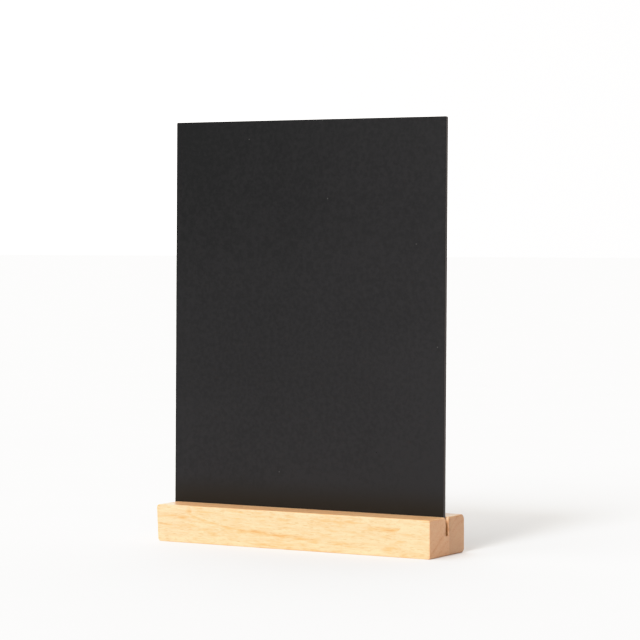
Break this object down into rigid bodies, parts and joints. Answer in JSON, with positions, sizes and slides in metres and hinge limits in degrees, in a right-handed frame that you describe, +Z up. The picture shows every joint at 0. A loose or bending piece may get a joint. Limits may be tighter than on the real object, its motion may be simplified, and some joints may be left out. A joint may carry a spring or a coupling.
{
  "type": "tabletop menu chalkboard",
  "caption": "Thin upright black chalkboard standing in the slot of a solid wooden block base, for a menu or price list on a counter.",
  "frame": {"origin": "middle of the base's underside, on the surface it stands on", "axes": "+X along the base to the reader's right, -Y towards the reader of the front face, +Z up"},
  "size_m": [0.218, 0.049, 0.294],
  "materials": {
    "front_wood": "pale sanded hardwood with a thin matt varnish",
    "back_wood": "slightly darker sanded hardwood with a thin matt varnish",
    "board_core": "dark stained fibreboard edge, matt",
    "chalkboard_face": "finely toothed matt black writing surface"
  },
  "bodies": {
    "base": {"front_stave_left": "front_wood", "front_stave_middle": "front_wood", "front_stave_right": "front_wood", "back_stave": "back_wood"},
    "board": {"board_core": "board_core", "front_writing_face": "chalkboard_face", "back_writing_face": "chalkboard_face"}
  },
  "joints": [
    {"name": "board_lift", "type": "slide", "parent": "base", "child": "board", "axis": [0, 0, 1], "range_m": [0, 0.03]}
  ]
}
